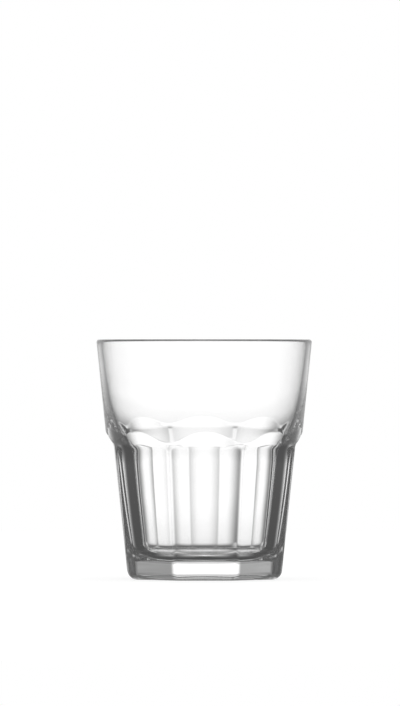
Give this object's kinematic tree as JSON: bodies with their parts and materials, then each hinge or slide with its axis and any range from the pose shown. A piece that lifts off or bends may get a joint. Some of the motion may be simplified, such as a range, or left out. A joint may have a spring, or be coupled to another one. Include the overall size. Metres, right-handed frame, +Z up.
{
  "type": "rocks glass",
  "caption": "Clear pressed-glass tumbler with a plain conical band above flat, arch-topped panels, a thick base and a dished floor, for short drinks.",
  "frame": {"origin": "on the axis, on the plane that the glass stands on", "axes": "+Z up along the glass's axis; a panel faces each of +X, -X, +Y and -Y"},
  "size_m": [0.0846, 0.0846, 0.094],
  "materials": {
    "clear_glass": "fire-polished"
  },
  "bodies": {
    "root": {"tumbler": "clear_glass"}
  },
  "joints": []
}
